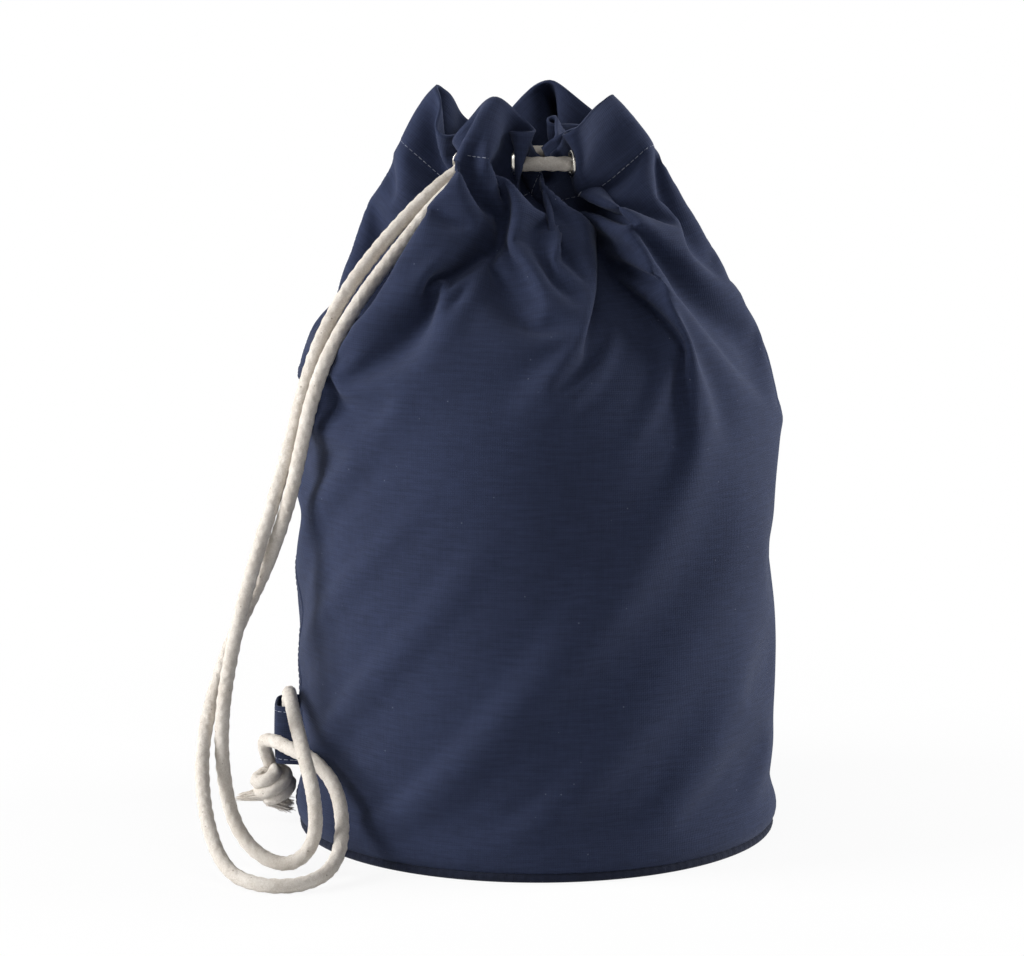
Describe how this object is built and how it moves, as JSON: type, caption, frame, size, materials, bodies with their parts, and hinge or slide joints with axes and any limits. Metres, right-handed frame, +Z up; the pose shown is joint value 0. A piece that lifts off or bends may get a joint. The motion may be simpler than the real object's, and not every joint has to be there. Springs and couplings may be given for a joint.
{
  "type": "drawstring backpack",
  "caption": "Round canvas drawstring bag with a flat base, its neck gathered by a cotton cord through eyelets, the cord's two strands forming a shoulder strap knotted at a tab.",
  "frame": {"origin": "centre of the base's underside", "axes": "+Z up through the gathered neck, -Y the front, -X the side that the cord strap hangs on"},
  "size_m": [0.3338, 0.3042, 0.4367],
  "materials": {
    "canvas": "washed cotton canvas, navy",
    "welt": "canvas binding rolled over the base seam, navy",
    "tab": "folded canvas tab, topstitched, navy",
    "eyelet": "dull gunmetal-toned press eyelet",
    "cord": "twisted natural cotton rope"
  },
  "bodies": {
    "bag": {"body_panel": "canvas", "base_panel": "canvas", "base_welt": "welt", "cord_tab": "tab", "eyelet_1": "eyelet", "eyelet_2": "eyelet", "eyelet_3": "eyelet", "eyelet_4": "eyelet", "eyelet_5": "eyelet", "eyelet_6": "eyelet", "eyelet_7": "eyelet", "eyelet_8": "eyelet", "eyelet_washer_1": "eyelet", "eyelet_washer_2": "eyelet", "eyelet_washer_3": "eyelet", "eyelet_washer_4": "eyelet", "eyelet_washer_5": "eyelet", "eyelet_washer_6": "eyelet", "eyelet_washer_7": "eyelet", "eyelet_washer_8": "eyelet", "cord_neck": "cord", "cord_upper_a": "cord", "cord_upper_b": "cord"},
    "strap": {"cord_lower_a": "cord", "cord_lower_b": "cord", "cord_knot": "cord", "cord_tail_a": "cord", "cord_tail_b": "cord"}
  },
  "joints": [
    {"name": "strap_swing", "type": "hinge", "parent": "bag", "child": "strap", "pos_m": [-0.146, 0.003, 0.05], "axis": [-0.0343, 0.3517, -0.9355], "range_deg": [0, 75]}
  ]
}
